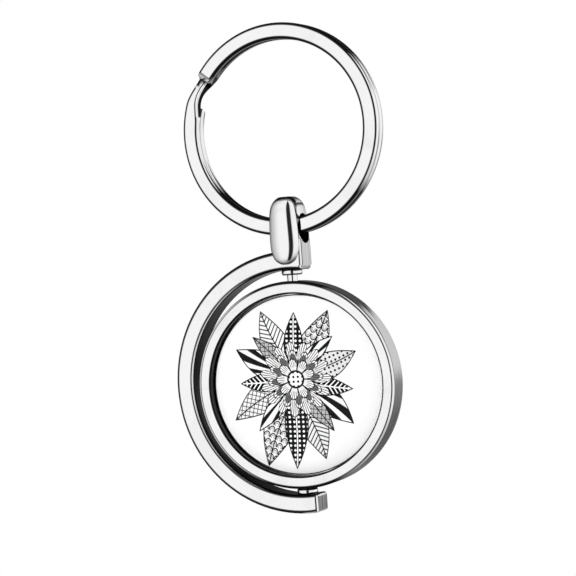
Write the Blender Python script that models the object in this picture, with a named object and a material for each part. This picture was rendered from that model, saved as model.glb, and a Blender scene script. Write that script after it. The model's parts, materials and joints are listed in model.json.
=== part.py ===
"""Rotating key ring: a split ring, a half-moon frame with a cast loop, and a medallion that turns on two pins.

Lengths are in metres and angles in radians. +Z is up and the front looks along -Y. The origin is the
point that the ring hangs by, at the top of its inner edge, so everything else hangs below it.
"""

import math

import bmesh
import bpy
from mathutils import Matrix, Vector

# Split ring: one flat wire wound into two turns
RING_RADIUS = 0.0160
WIRE_WIDTH = 0.0025
WIRE_THICKNESS = 0.00135
WIRE_EDGE_RADIUS = 0.00026
TURN_GAP = 0.00005
FRONT_END_ANGLE = math.radians(141.5)
END_SLANT_ANGLE = math.radians(2.5)
CROSSING_ANGLE = math.radians(15.6)
PINCH_REACH_ANGLE = math.radians(6.0)
FRONT_PINCH = 0.0011
BACK_PINCH = 0.0007
WIRE_STEP_ANGLE = math.radians(5.0)
CROSSING_STEP_ANGLE = math.radians(1.5)

# Loop of the frame, which the ring passes through
LOOP_WIDTH = 0.0048
LOOP_TOP_WIDTH = 0.0041
LOOP_WALL = 0.00105
LOOP_ROOF = 0.0027
LOOP_STEM = 0.0038
LOOP_FOOT_HEIGHT = 0.00075
LOOP_EDGE_RADIUS = 0.00095
LOOP_HOLE_STRAIGHT = 0.00065
LOOP_HOLE_FLARE = 0.0002
LOOP_RUNNING_GAP = 0.00005

# Bar of the half-moon frame
BAR_WIDTH = 0.00285
BAR_THICKNESS = 0.00415
BAR_EDGE_RADIUS = 0.00042

# Medallion body, which holds a picture plate on each side
DISC_RADIUS = 0.01565
DISC_THICKNESS = 0.0046
DISC_CHAMFER = 0.00035
DISC_TURN = math.radians(3.0)
RIM_WIDTH = 0.00195
BEZEL_CHAMFER = 0.00018
WEB_THICKNESS = 0.0005
PLATE_THICKNESS = 0.0003
PLATE_GAP = 0.0001
PAD_THICKNESS = 0.0001
PAD_INSET = 0.0006
FACE_GAP = 0.00001

# Pivot pins, two alike
COLLAR_RADIUS = 0.0016
COLLAR_HEIGHT = 0.0009
COLLAR_ROUNDING = 0.0003
JOURNAL_RADIUS = 0.00082
JOURNAL_TIP_CHAMFER = 0.0001
STEM_RADIUS = 0.0008
STEM_LENGTH = 0.0018
BORE_GAP = 0.00005
BORE_FLOOR = 0.0004
SOCKET_GAP = 0.00002
SPOT_FACE_DEPTH = 0.00005
DISC_FLOAT = 0.00085
DISC_SEAT_GAP = 0.00003

# Shared overrun of every cutting body past the face it opens, and the distance that closes a seam
CUT_OVERRUN = 0.0005
SEAM_DISTANCE = 0.0000001

# Fineness of round shapes
WIRE_EDGE_STEPS = 1
BAR_STEPS = 46
BAR_EDGE_STEPS = 3
DISC_STEPS = 80
PIN_STEPS = 32
ARC_STEPS = 18
EDGE_STEPS = 4

# Edges that turn further than this are shaded sharp, or are rounded
SHADED_SHARP_ANGLE = math.radians(30.0)
BAR_ROUNDED_ANGLE = math.radians(45.0)
LOOP_ROUNDED_ANGLE = math.radians(50.0)

# Finishes as (colour, roughness, metallic)
POLISHED_CHROME = ((0.83, 0.83, 0.84, 1.0), 0.08, 1.0)
BRIGHT_STEEL = ((0.86, 0.86, 0.87, 1.0), 0.12, 1.0)
PRINTED_WHITE = ((0.92, 0.92, 0.92, 1.0), 0.35, 0.0)
ADHESIVE_TAPE = ((0.45, 0.45, 0.46, 1.0), 0.8, 0.0)


# Places that follow from the sizes above

RING_INNER_RADIUS = RING_RADIUS - WIRE_WIDTH
RING_CENTRE_Z = -RING_INNER_RADIUS
RING_HALF_THICKNESS = WIRE_THICKNESS + TURN_GAP / 2
SWING_Z = RING_CENTRE_Z - RING_INNER_RADIUS - WIRE_WIDTH / 2

# The wire's travel round the ring, as angles from its front end
CROSS_START = math.tau - END_SLANT_ANGLE - CROSSING_ANGLE
CROSS_MIDDLE = CROSS_START + CROSSING_ANGLE / 2
PINCH_HALF_ANGLE = CROSSING_ANGLE / 2 + PINCH_REACH_ANGLE
WIRE_TRAVEL = 2 * math.tau - CROSSING_ANGLE - 2 * END_SLANT_ANGLE


def sagitta(radius, half_chord):
    """How far an arc of this radius rises over the chord."""
    return radius - math.sqrt(radius**2 - half_chord**2)


def loop_hole_radius():
    """The wire's half diagonal where it leaves the loop, so that the loop swings all round it."""
    rise = WIRE_WIDTH / 2 + sagitta(RING_INNER_RADIUS, LOOP_WIDTH / 2)
    corner = WIRE_EDGE_RADIUS * (math.sqrt(2) - 1)
    return math.hypot(rise, RING_HALF_THICKNESS) - corner + LOOP_RUNNING_GAP


HOLE_RADIUS = loop_hole_radius()
LOOP_HALF_DEPTH = HOLE_RADIUS + LOOP_WALL

# The frame, measured from the centre of the medallion
BEARING_HEIGHT = DISC_RADIUS + COLLAR_HEIGHT + FACE_GAP
FRAME_TOP_SEAT = BEARING_HEIGHT + DISC_FLOAT
FRAME_BOTTOM_SEAT = BEARING_HEIGHT + DISC_SEAT_GAP
BAR_INNER_RADIUS = (FRAME_TOP_SEAT + FRAME_BOTTOM_SEAT) / 2 - SPOT_FACE_DEPTH
BAR_CENTRE_Z = (FRAME_TOP_SEAT - FRAME_BOTTOM_SEAT) / 2
BAR_OUTER_RADIUS = BAR_INNER_RADIUS + BAR_WIDTH
BAR_END_X = LOOP_WIDTH / 2
BAR_TOP_INNER_Z = BAR_CENTRE_Z + BAR_INNER_RADIUS
SWING_ABOVE_DISC = BAR_TOP_INNER_Z + LOOP_STEM + HOLE_RADIUS + LOOP_HOLE_STRAIGHT
LOOP_TOP_Z = SWING_ABOVE_DISC + HOLE_RADIUS + LOOP_ROOF
LOOP_FOOT_Z = BAR_TOP_INNER_Z + LOOP_FOOT_HEIGHT
DISC_CENTRE_Z = SWING_Z - SWING_ABOVE_DISC

BEZEL_RADIUS = DISC_RADIUS - RIM_WIDTH
BORE_DEPTH = RIM_WIDTH - BORE_FLOOR
JOURNAL_LENGTH = BORE_DEPTH - BORE_GAP
PAD_FACE_Y = WEB_THICKNESS / 2 + FACE_GAP
PLATE_FACE_Y = PAD_FACE_Y + PAD_THICKNESS + FACE_GAP


def clear_scene():
    for old in list(bpy.data.objects):
        bpy.data.objects.remove(old, do_unlink=True)


def material_of(name, finish):
    """A plain Principled material of this finish."""
    made = bpy.data.materials.new(name)
    made.use_nodes = True
    shader = made.node_tree.nodes["Principled BSDF"]
    for socket, value in zip(("Base Color", "Roughness", "Metallic"), finish):
        shader.inputs[socket].default_value = value
    return made


def empty_at(name, location, parent=None, turn=0.0):
    """An empty on a joint's axis, which carries what moves with that joint."""
    pivot = bpy.data.objects.new(name, None)
    bpy.context.collection.objects.link(pivot)
    pivot.parent = parent
    pivot.location = location
    pivot.rotation_euler = (0.0, 0.0, turn)
    return pivot


def object_from(bm, name, material=None, parent=None, location=(0.0, 0.0, 0.0)):
    """Turns a finished bmesh into a smooth-shaded object."""
    bmesh.ops.recalc_face_normals(bm, faces=bm.faces)
    mesh = bpy.data.meshes.new(name)
    bm.to_mesh(mesh)
    bm.free()
    mesh.shade_smooth()
    mesh.set_sharp_from_angle(angle=SHADED_SHARP_ANGLE)
    made = bpy.data.objects.new(name, mesh)
    bpy.context.collection.objects.link(made)
    made.parent = parent
    made.location = location
    if material is None:
        made.hide_render = True
        made.display_type = "WIRE"
    else:
        mesh.materials.append(material)
    return made


def combine(target, tool, operation):
    step = target.modifiers.new(f"{operation.lower()} {tool.name}", "BOOLEAN")
    step.operation = operation
    step.object = tool


def arc(centre, radius, start, end, steps):
    """Points along an arc, both ends included."""
    angles = [start + (end - start) * i / steps for i in range(steps + 1)]
    return [(centre[0] + radius * math.cos(a), centre[1] + radius * math.sin(a)) for a in angles]


def prism(outline, place, low, high):
    """A bmesh of a closed outline swept straight from low to high; place(u, v, w) gives each corner."""
    bm = bmesh.new()
    base = bm.faces.new([bm.verts.new(place(u, v, low)) for u, v in outline])
    swept = bmesh.ops.extrude_face_region(bm, geom=[base])
    moved = [item for item in swept["geom"] if isinstance(item, bmesh.types.BMVert)]
    shift = Vector(place(0.0, 0.0, high)) - Vector(place(0.0, 0.0, low))
    bmesh.ops.translate(bm, verts=moved, vec=shift)
    return bm


def turned(profile, steps):
    """A bmesh of a profile of (radius, height) points turned about Z. Its ends lie on the axis."""
    bm = bmesh.new()
    points = [bm.verts.new((radius, 0.0, height)) for radius, height in profile]
    edges = [bm.edges.new(pair) for pair in zip(points, points[1:])]
    bmesh.ops.spin(
        bm, geom=points + edges, cent=(0.0, 0.0, 0.0), axis=(0.0, 0.0, 1.0),
        angle=math.tau, steps=steps, use_duplicate=False,
    )
    bmesh.ops.remove_doubles(bm, verts=bm.verts, dist=SEAM_DISTANCE)
    return bm


def wire_section(pinch):
    """Corners of the wire's section as (outward, along the ring's axis), its inner side drawn in by pinch."""
    half_width, half_thickness = WIRE_WIDTH / 2, WIRE_THICKNESS / 2
    corners = []
    for quarter, (u, v) in enumerate([(1, 1), (-1, 1), (-1, -1), (1, -1)]):
        drawn_in = pinch * (BACK_PINCH if v > 0 else FRONT_PINCH) if u < 0 else 0.0
        middle = (u * (half_width - WIRE_EDGE_RADIUS) + drawn_in, v * (half_thickness - WIRE_EDGE_RADIUS))
        start = quarter * math.pi / 2
        corners += arc(middle, WIRE_EDGE_RADIUS, start, start + math.pi / 2, WIRE_EDGE_STEPS)
    return corners


def evenly(start, stop, step):
    """Values from start up to but not including stop, about a step apart."""
    count = max(1, round((stop - start) / step))
    return [start + (stop - start) * i / count for i in range(count)]


def skin(bm, sections):
    """Faces between one closed section and the next, with a cap on the first and on the last."""
    for here, there in zip(sections, sections[1:]):
        for k, corner in enumerate(here):
            bm.faces.new((here[k - 1], corner, there[k], there[k - 1]))
    bm.faces.new(sections[0])
    bm.faces.new(sections[-1])
    return bm


def wire_travels():
    """The angles, counted from the wire's front end, at which its section is drawn."""
    pinch_start, pinch_end = CROSS_MIDDLE - PINCH_HALF_ANGLE, CROSS_MIDDLE + PINCH_HALF_ANGLE
    travels = evenly(0.0, pinch_start, WIRE_STEP_ANGLE)
    travels += evenly(pinch_start, pinch_end, CROSSING_STEP_ANGLE)
    return travels + evenly(pinch_end, WIRE_TRAVEL, WIRE_STEP_ANGLE) + [WIRE_TRAVEL]


def end_slant(travel, along):
    """How far a corner of the wire's end leads the section's middle, so that both ends are slanted."""
    lead = END_SLANT_ANGLE * (0.5 + along / WIRE_THICKNESS)
    if travel == 0.0:
        return lead
    return lead - END_SLANT_ANGLE if travel == WIRE_TRAVEL else 0.0


def wire_station(travel):
    """Corners of the wire's section at this angle of travel, about the ring's centre."""
    share = min(max((travel - CROSS_START) / CROSSING_ANGLE, 0.0), 1.0)
    crossed = share * share * (3.0 - 2.0 * share)
    off_middle = min(abs(travel - CROSS_MIDDLE) / PINCH_HALF_ANGLE, 1.0)
    layer_y = (WIRE_THICKNESS + TURN_GAP) / 2 * (2.0 * crossed - 1.0)
    corners = []
    for outward, along in wire_section((1.0 + math.cos(math.pi * off_middle)) / 2):
        angle = FRONT_END_ANGLE - travel + end_slant(travel, along)
        radius = RING_RADIUS - WIRE_WIDTH / 2 + outward
        corners.append((radius * math.cos(angle), layer_y + along, radius * math.sin(angle)))
    return corners


def make_split_ring(material):
    """The wire runs clockwise from its front end, once round in front, crosses to the back and goes
    round again. Where it crosses it is pinched narrower, and both of its ends are cut on a slant."""
    bm = bmesh.new()
    stations = [[bm.verts.new(corner) for corner in wire_station(travel)] for travel in wire_travels()]
    return object_from(skin(bm, stations), "split_ring", material, location=(0.0, 0.0, RING_CENTRE_Z))


def bar_outline():
    """The C from the front: two arcs round one centre, whose ends lie on the plane of the cut ends."""
    centre = (0.0, BAR_CENTRE_Z)
    inner_start = math.acos(BAR_END_X / BAR_INNER_RADIUS)
    outer_start = math.acos(BAR_END_X / BAR_OUTER_RADIUS)
    inside = arc(centre, BAR_INNER_RADIUS, inner_start, math.tau - inner_start, BAR_STEPS)
    return inside + arc(centre, BAR_OUTER_RADIUS, math.tau - outer_start, outer_start, BAR_STEPS)


def make_bar():
    """The C-shaped bar, as thick as it is from front to back, with its long edges and ends rounded."""
    bm = prism(bar_outline(), lambda u, v, w: (u, w, v), -BAR_THICKNESS / 2, BAR_THICKNESS / 2)
    bmesh.ops.recalc_face_normals(bm, faces=bm.faces)
    sharp = [edge for edge in bm.edges if edge.calc_face_angle(0.0) > BAR_ROUNDED_ANGLE]
    bmesh.ops.bevel(
        bm, geom=[edge for edge in sharp if not is_bar_top_end(edge)], offset=BAR_EDGE_RADIUS,
        offset_type="OFFSET", segments=BAR_EDGE_STEPS, profile=0.5, affect="EDGES",
    )
    return bm


def is_bar_top_end(edge):
    """The upper edge of the bar's upper cut face, which the loop's side carries on."""
    on_cut = all(abs(v.co.x - BAR_END_X) < FACE_GAP for v in edge.verts)
    return on_cut and all(v.co.z > BAR_TOP_INNER_Z + BAR_WIDTH / 2 for v in edge.verts)


def loop_side_outline():
    """The loop seen from the side: upright front and back, and a half-round top."""
    arch_z = LOOP_TOP_Z - LOOP_HALF_DEPTH
    top = arc((0.0, arch_z), LOOP_HALF_DEPTH, 0.0, math.pi, ARC_STEPS)
    return top + [(-LOOP_HALF_DEPTH, LOOP_FOOT_Z), (LOOP_HALF_DEPTH, LOOP_FOOT_Z)]


def loop_front_outline():
    """The loop seen from the front: a half-round foot and sides that draw in towards the top."""
    half = LOOP_WIDTH / 2
    foot = arc((0.0, LOOP_FOOT_Z + half), half, -math.pi, 0.0, ARC_STEPS)
    return foot + [(LOOP_TOP_WIDTH / 2, LOOP_TOP_Z), (-LOOP_TOP_WIDTH / 2, LOOP_TOP_Z)]


def hole_outline(grow):
    """The loop's hole from the side, wider by grow all round."""
    radius = HOLE_RADIUS + grow
    upper = arc((0.0, SWING_ABOVE_DISC), radius, 0.0, math.pi, ARC_STEPS)
    lower_centre = (0.0, SWING_ABOVE_DISC - LOOP_HOLE_STRAIGHT)
    return upper + arc(lower_centre, radius, math.pi, math.tau, ARC_STEPS)


def hole_cutter():
    """A tube along X through the loop, flared where it meets the side faces."""
    reach = LOOP_WIDTH / 2 + CUT_OVERRUN
    flare_start = LOOP_WIDTH / 2 - LOOP_HOLE_FLARE
    bm = bmesh.new()
    sections = []
    for x in (-reach, -flare_start, flare_start, reach):
        sections.append([bm.verts.new((x, y, z)) for y, z in hole_outline(abs(x) - flare_start)])
    return skin(bm, sections)


def socket_profile():
    """A pin's blind socket in the bar, with the flat spot face that its collar seats on."""
    mouth = -(SPOT_FACE_DEPTH + sagitta(BAR_INNER_RADIUS, COLLAR_RADIUS + SOCKET_GAP) + CUT_OVERRUN)
    spot_radius = COLLAR_RADIUS + SOCKET_GAP
    socket_radius = STEM_RADIUS + SOCKET_GAP
    depth = STEM_LENGTH + SOCKET_GAP
    return [(0.0, mouth), (spot_radius, mouth), (spot_radius, 0.0), (socket_radius, 0.0),
            (socket_radius, depth), (0.0, depth)]


def make_half_moon_frame(material, pivot):
    """One casting: the C-shaped bar and the loop that stands on its upper end."""
    at_disc = (0.0, 0.0, -SWING_ABOVE_DISC)
    frame = object_from(make_bar(), "half_moon_frame", material, pivot, at_disc)
    side = prism(loop_side_outline(), lambda u, v, w: (w, u, v), -LOOP_WIDTH / 2, LOOP_WIDTH / 2)
    front_reach = LOOP_HALF_DEPTH + CUT_OVERRUN
    front = prism(loop_front_outline(), lambda u, v, w: (u, w, v), -front_reach, front_reach)
    loop = object_from(side, "loop_body", parent=pivot, location=at_disc)
    combine(loop, object_from(front, "loop_front_shape", parent=pivot, location=at_disc), "INTERSECT")
    rounding = loop.modifiers.new("rounded edges", "BEVEL")
    rounding.width = LOOP_EDGE_RADIUS
    rounding.segments = EDGE_STEPS
    rounding.limit_method = "ANGLE"
    rounding.angle_limit = LOOP_ROUNDED_ANGLE
    combine(frame, loop, "UNION")
    combine(frame, object_from(hole_cutter(), "loop_hole", parent=pivot, location=at_disc), "DIFFERENCE")
    for name, seat_z, turn in (
        ("upper_socket", FRAME_TOP_SEAT, 0.0), ("lower_socket", -FRAME_BOTTOM_SEAT, math.pi)
    ):
        place = Matrix.Translation((0.0, 0.0, seat_z)) @ Matrix.Rotation(turn, 4, "X")
        socket = turned(socket_profile(), PIN_STEPS)
        bmesh.ops.transform(socket, matrix=place, verts=socket.verts)
        combine(frame, object_from(socket, name, parent=pivot, location=at_disc), "DIFFERENCE")


def pin_profile():
    """A pin standing on its journal's tip: journal below, collar, then the stem that the bar holds."""
    tip = -(COLLAR_HEIGHT + JOURNAL_LENGTH)
    round_radius = COLLAR_RADIUS - COLLAR_ROUNDING
    lower_round = arc(
        (round_radius, COLLAR_ROUNDING - COLLAR_HEIGHT), COLLAR_ROUNDING, -math.pi / 2, 0.0, EDGE_STEPS
    )
    upper_round = arc((round_radius, -COLLAR_ROUNDING), COLLAR_ROUNDING, 0.0, math.pi / 2, EDGE_STEPS)
    return [
        (0.0, tip), (JOURNAL_RADIUS - JOURNAL_TIP_CHAMFER, tip),
        (JOURNAL_RADIUS, tip + JOURNAL_TIP_CHAMFER), (JOURNAL_RADIUS, -COLLAR_HEIGHT),
        *lower_round, *upper_round, (STEM_RADIUS, 0.0),
        (STEM_RADIUS, STEM_LENGTH), (0.0, STEM_LENGTH),
    ]


def make_pins(material, pivot):
    """Two pins alike. The upper one hangs from the bar and the lower one stands on it."""
    for name, seat_z, turn in (
        ("upper_pivot_pin", FRAME_TOP_SEAT - FACE_GAP, 0.0),
        ("lower_pivot_pin", FACE_GAP - FRAME_BOTTOM_SEAT, math.pi),
    ):
        location = (0.0, 0.0, seat_z - SWING_ABOVE_DISC)
        pin = object_from(turned(pin_profile(), PIN_STEPS), name, material, pivot, location)
        pin.rotation_euler = (turn, 0.0, 0.0)


def lying(bm):
    """Turns a shape that was turned about Z so that its axis lies along Y."""
    bmesh.ops.transform(bm, matrix=Matrix.Rotation(math.pi / 2, 4, "X"), verts=bm.verts)
    return bm


def rim_profile():
    """Half of the medallion body's section, from its middle out along the back and in along the front."""
    half, web = DISC_THICKNESS / 2, WEB_THICKNESS / 2
    one_side = [
        (0.0, web), (BEZEL_RADIUS, web), (BEZEL_RADIUS, half - BEZEL_CHAMFER),
        (BEZEL_RADIUS + BEZEL_CHAMFER, half), (DISC_RADIUS - DISC_CHAMFER, half),
        (DISC_RADIUS, half - DISC_CHAMFER),
    ]
    return one_side + [(radius, -height) for radius, height in reversed(one_side)]


def make_disc_rim(material, pivot):
    """The medallion body: a rim round a thin web, with a blind bore for a pin at its top and bottom."""
    rim = object_from(lying(turned(rim_profile(), DISC_STEPS)), "disc_rim", material, pivot)
    bore_radius = JOURNAL_RADIUS + BORE_GAP
    inner, outer = DISC_RADIUS - BORE_DEPTH, DISC_RADIUS + CUT_OVERRUN
    profile = [(0.0, inner), (bore_radius, inner), (bore_radius, outer), (0.0, outer)]
    for name, side in (("upper_bore", 1), ("lower_bore", -1)):
        bore = turned([(radius, side * height) for radius, height in profile], PIN_STEPS)
        cutter = object_from(bore, name, parent=pivot)
        cutter.rotation_euler = (0.0, 0.0, -DISC_TURN)
        combine(rim, cutter, "DIFFERENCE")


def round_plate(radius, low, high):
    """A flat round plate whose faces lie at these distances along the medallion's axis."""
    return lying(turned([(0.0, low), (radius, low), (radius, high), (0.0, high)], DISC_STEPS))


def make_plates(plate_material, pad_material, pivot):
    """A printed plate and its adhesive pad in each recess. Turning about X puts +height at the front."""
    plate_radius = BEZEL_RADIUS - PLATE_GAP
    pad_radius = plate_radius - PAD_INSET
    for side_name, side in (("front", 1), ("back", -1)):
        pad = round_plate(pad_radius, side * PAD_FACE_Y, side * (PAD_FACE_Y + PAD_THICKNESS))
        object_from(pad, f"{side_name}_adhesive_pad", pad_material, pivot)
        plate = round_plate(plate_radius, side * PLATE_FACE_Y, side * (PLATE_FACE_Y + PLATE_THICKNESS))
        object_from(plate, f"{side_name}_picture_plate", plate_material, pivot)


def main():
    clear_scene()
    chrome = material_of("polished_chrome", POLISHED_CHROME)
    steel = material_of("bright_steel", BRIGHT_STEEL)
    printed = material_of("printed_white", PRINTED_WHITE)
    tape = material_of("adhesive_tape", ADHESIVE_TAPE)
    frame_pivot = empty_at("frame_pivot", (0.0, 0.0, SWING_Z))
    disc_pivot = empty_at("disc_pivot", (0.0, 0.0, -SWING_ABOVE_DISC), frame_pivot, DISC_TURN)
    make_split_ring(steel)
    make_half_moon_frame(chrome, frame_pivot)
    make_pins(chrome, frame_pivot)
    make_disc_rim(chrome, disc_pivot)
    make_plates(printed, tape, disc_pivot)


main()
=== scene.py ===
# %% [markdown]
# # A rotating key ring, dressed
# The frame holds a key ring as its maker would cut, cast and press it: a split ring, a half-moon
# casting with a loop, two pivot pins, and a medallion that turns between them. This lesson models
# the surfaces that the eye meets, one piece at a time, with the tools that a modeller would use by
# hand, and then gives each piece its finish. Nothing in the frame is moved.

# %% Load the frame
import json
import math

import bpy
from mathutils import Matrix, Vector


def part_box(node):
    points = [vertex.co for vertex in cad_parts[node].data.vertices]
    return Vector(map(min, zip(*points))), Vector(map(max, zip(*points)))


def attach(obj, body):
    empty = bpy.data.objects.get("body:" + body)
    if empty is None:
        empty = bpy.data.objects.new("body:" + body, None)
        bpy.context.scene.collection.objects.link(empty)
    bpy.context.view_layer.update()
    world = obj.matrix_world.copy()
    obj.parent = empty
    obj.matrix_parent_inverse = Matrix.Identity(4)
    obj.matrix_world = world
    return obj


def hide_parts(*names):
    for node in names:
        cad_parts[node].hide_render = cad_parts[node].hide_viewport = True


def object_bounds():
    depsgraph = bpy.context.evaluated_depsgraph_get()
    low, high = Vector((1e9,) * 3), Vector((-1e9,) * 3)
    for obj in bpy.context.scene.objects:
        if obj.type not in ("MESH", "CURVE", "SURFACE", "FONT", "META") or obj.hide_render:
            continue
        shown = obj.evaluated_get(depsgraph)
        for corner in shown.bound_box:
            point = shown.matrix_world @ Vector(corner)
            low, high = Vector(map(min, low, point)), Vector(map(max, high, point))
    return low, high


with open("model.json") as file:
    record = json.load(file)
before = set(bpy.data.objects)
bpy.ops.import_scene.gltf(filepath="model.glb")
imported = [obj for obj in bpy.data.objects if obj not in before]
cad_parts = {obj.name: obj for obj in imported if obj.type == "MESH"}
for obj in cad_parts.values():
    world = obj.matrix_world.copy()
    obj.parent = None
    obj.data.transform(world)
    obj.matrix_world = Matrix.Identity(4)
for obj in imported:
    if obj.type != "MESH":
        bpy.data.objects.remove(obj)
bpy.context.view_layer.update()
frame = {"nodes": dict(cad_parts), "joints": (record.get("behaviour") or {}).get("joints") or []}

joints = {joint["name"]: joint for joint in frame["joints"]}
SWING = Vector(joints["frame_swing"]["pos_m"])
DISC_CENTRE = Vector(joints["disc_spin"]["pos_m"])
MM = 0.001
print("the frame's nodes:", ", ".join(sorted(frame["nodes"])))

# %% [markdown]
# ## Working by hand, in code
# Every tool in edit mode acts on what is selected, so a script has to choose as carefully as a
# hand does. These helpers open a piece with only the wanted points, edges or faces selected. They
# set the selection mode first, or Blender would spread the choice to everything that it touches.

# %% Helpers that choose and open
KINDS = ("points", "edges", "faces")


def rest():
    """Back to object mode with nothing selected."""
    if bpy.context.mode != "OBJECT":
        bpy.ops.object.mode_set(mode="OBJECT")
    bpy.ops.object.select_all(action="DESELECT")


def hold(piece):
    """Makes this the one selected and active object."""
    rest()
    piece.select_set(True)
    bpy.context.view_layer.objects.active = piece
    return piece


def named(name):
    """Names the primitive that was just added and sets its place, turn and size into its mesh."""
    piece = bpy.context.object
    piece.name = piece.data.name = name
    bpy.ops.object.transform_apply(location=True, rotation=True, scale=True)
    return piece


def choose(piece, kind, wanted):
    """Opens the piece in edit mode with only those points, edges or faces selected."""
    hold(piece)
    mesh = piece.data
    bpy.context.tool_settings.mesh_select_mode = [kind == each for each in KINDS]
    for items in (mesh.vertices, mesh.edges, mesh.polygons):
        items.foreach_set("select", [False] * len(items))
    items = {"points": mesh.vertices, "edges": mesh.edges, "faces": mesh.polygons}[kind]
    picked = [wanted(item) for item in items]
    items.foreach_set("select", picked)
    bpy.ops.object.mode_set(mode="EDIT")
    return sum(picked)


def choose_points(piece, test):
    """test(place) says whether a point is wanted."""
    return choose(piece, "points", lambda point: bool(test(point.co)))


def choose_edges(piece, test):
    """test(start, end) says whether an edge is wanted."""
    points = piece.data.vertices
    return choose(piece, "edges", lambda edge: bool(test(*(points[i].co for i in edge.vertices))))


def choose_faces(piece, test):
    """test(centre, normal) says whether a face is wanted."""
    return choose(piece, "faces", lambda face: bool(test(face.center, face.normal)))


print("what can be chosen:", ", ".join(KINDS))

# %% Helpers that finish
SMOOTH_ANGLE = math.radians(30)
MERGE_DISTANCE = 0.0005 * MM
ROUNDING_ERROR = 0.001 * MM


def modify(piece, kind, **settings):
    """Adds one modifier and applies it."""
    hold(piece)
    step = piece.modifiers.new(kind.lower(), kind)
    for name, value in settings.items():
        setattr(step, name, value)
    bpy.ops.object.modifier_apply(modifier=step.name)
    return piece


def combine(piece, tool, operation):
    """A Boolean with a tool that is not needed afterwards."""
    modify(piece, "BOOLEAN", operation=operation, object=tool, solver="EXACT")
    bpy.data.objects.remove(tool, do_unlink=True)
    return piece


def tidy(piece):
    """Merges doubles, turns the faces out and shades the piece smooth up to its edges."""
    choose_faces(piece, lambda centre, normal: True)
    bpy.ops.mesh.remove_doubles(threshold=MERGE_DISTANCE)
    bpy.ops.mesh.normals_make_consistent(inside=False)
    hold(piece)
    bpy.ops.object.shade_smooth_by_angle(angle=SMOOTH_ANGLE)
    modify(piece, "WEIGHTED_NORMAL", keep_sharp=True)
    return piece


def level(*values):
    """Whether the values agree, but for rounding."""
    return max(values) - min(values) < ROUNDING_ERROR


def deliver(piece, body, slot, *nodes):
    """Lets a finished piece ride on its body in place of the plain solid, and prints its name, faces
    and body.
    """
    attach(piece, body)
    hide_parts(*nodes)
    print(f"{piece.name}: {len(piece.data.polygons)} faces, rides on {body}")


print("edges are shaded sharp above", round(math.degrees(SMOOTH_ANGLE)), "degrees")

# %% [markdown]
# ## The camera first
# The photograph looks at the front from the right, a little above the middle, with the camera
# tilted. A long lens from a third of a metre keeps the ring as round as it is there. With the
# camera in place from the start, every later render can be held against the photograph.

# %% Camera
VIEW_TURN = math.radians(23.76)
VIEW_RISE = math.radians(0.52)
VIEW_TILT = math.radians(-4.11)
VIEW_DISTANCE = 0.33317
VIEW_TARGET = Vector((-0.000858, 0.0, -0.0374185))
SENSOR = 36.0
LENS = 137.99
NEAREST_SEEN = 10 * MM

toward_camera = Vector((
    math.sin(VIEW_TURN) * math.cos(VIEW_RISE),
    -math.cos(VIEW_TURN) * math.cos(VIEW_RISE),
    math.sin(VIEW_RISE),
))
level_right = Vector((math.cos(VIEW_TURN), math.sin(VIEW_TURN), 0.0))
level_up = toward_camera.cross(level_right)
image_right = level_right * math.cos(VIEW_TILT) + level_up * math.sin(VIEW_TILT)
image_up = level_up * math.cos(VIEW_TILT) - level_right * math.sin(VIEW_TILT)
camera = bpy.data.objects.new("camera", bpy.data.cameras.new("camera"))
bpy.context.scene.collection.objects.link(camera)
camera.data.sensor_width = SENSOR
camera.data.lens = LENS
camera.data.clip_start = NEAREST_SEEN
turn = Matrix((image_right, image_up, toward_camera)).transposed().to_4x4()
camera.matrix_world = Matrix.Translation(VIEW_TARGET + toward_camera * VIEW_DISTANCE) @ turn
bpy.context.scene.camera = camera
print("the camera stands at", [round(value, 4) for value in camera.location])

# %% [markdown]
# ## The split ring
# A real split ring is one straight flat wire, wound twice round a mandrel. The wire's front end is
# cut off on a slant. Just before it would run into its own start, it is pinched narrower and steps
# back behind it. So this model starts as straight wire too: a long grid, thickened by an extrusion,
# with its four long corners rounded. The pinch and the step are pushed in while it is straight,
# where they are plain moves, and the Bend modifier winds it up at the end.

# %% Straight wire
RING_RADIUS = 16.0 * MM
WIRE_WIDTH = 2.5 * MM
WIRE_THICKNESS = 1.35 * MM
WIRE_CORNER = 0.5 * MM
TURN_GAP = 0.05 * MM
WINDING_RADIUS = RING_RADIUS - WIRE_WIDTH / 2
QUARTER = math.pi / 2
FRONT_END = math.radians(141.5) + QUARTER
END_SLANT = math.radians(4.0)
CROSSING = math.radians(15.6)
BETWEEN_ENDS = math.radians(24.2)
WOUND = 2 * math.tau - BETWEEN_ENDS
SPARE = math.radians(4.0)
STATIONS = 640
EDGE_STEPS = 8
NEARLY_HALF = 0.49

wire_right = WINDING_RADIUS * (FRONT_END + SPARE)
wire_left = WINDING_RADIUS * (FRONT_END - WOUND - SPARE)
station_step = (wire_right - wire_left) / STATIONS
rest()
bpy.ops.mesh.primitive_grid_add(
    x_subdivisions=STATIONS, y_subdivisions=1, size=1,
    location=((wire_right + wire_left) / 2, 0, -WIRE_THICKNESS / 2),
)
bpy.context.object.scale = (wire_right - wire_left, WIRE_WIDTH, 1)
wire = named("split_ring_wire")
choose_faces(wire, lambda centre, normal: True)
bpy.ops.mesh.extrude_region_move(TRANSFORM_OT_translate={"value": (0, 0, WIRE_THICKNESS)})
bpy.ops.mesh.select_all(action="SELECT")
bpy.ops.mesh.normals_make_consistent(inside=False)


def is_long_corner(start, end):
    """One of the four corner lines that run along the wire."""
    return abs(start.x - end.x) > station_step / 2 and abs(start.y) > WIRE_WIDTH * NEARLY_HALF


found = choose_edges(wire, is_long_corner)
bpy.ops.mesh.bevel(offset=WIRE_CORNER, offset_type="OFFSET", segments=EDGE_STEPS, affect="EDGES")
rest()
print("long corner edges rounded:", found)

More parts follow.
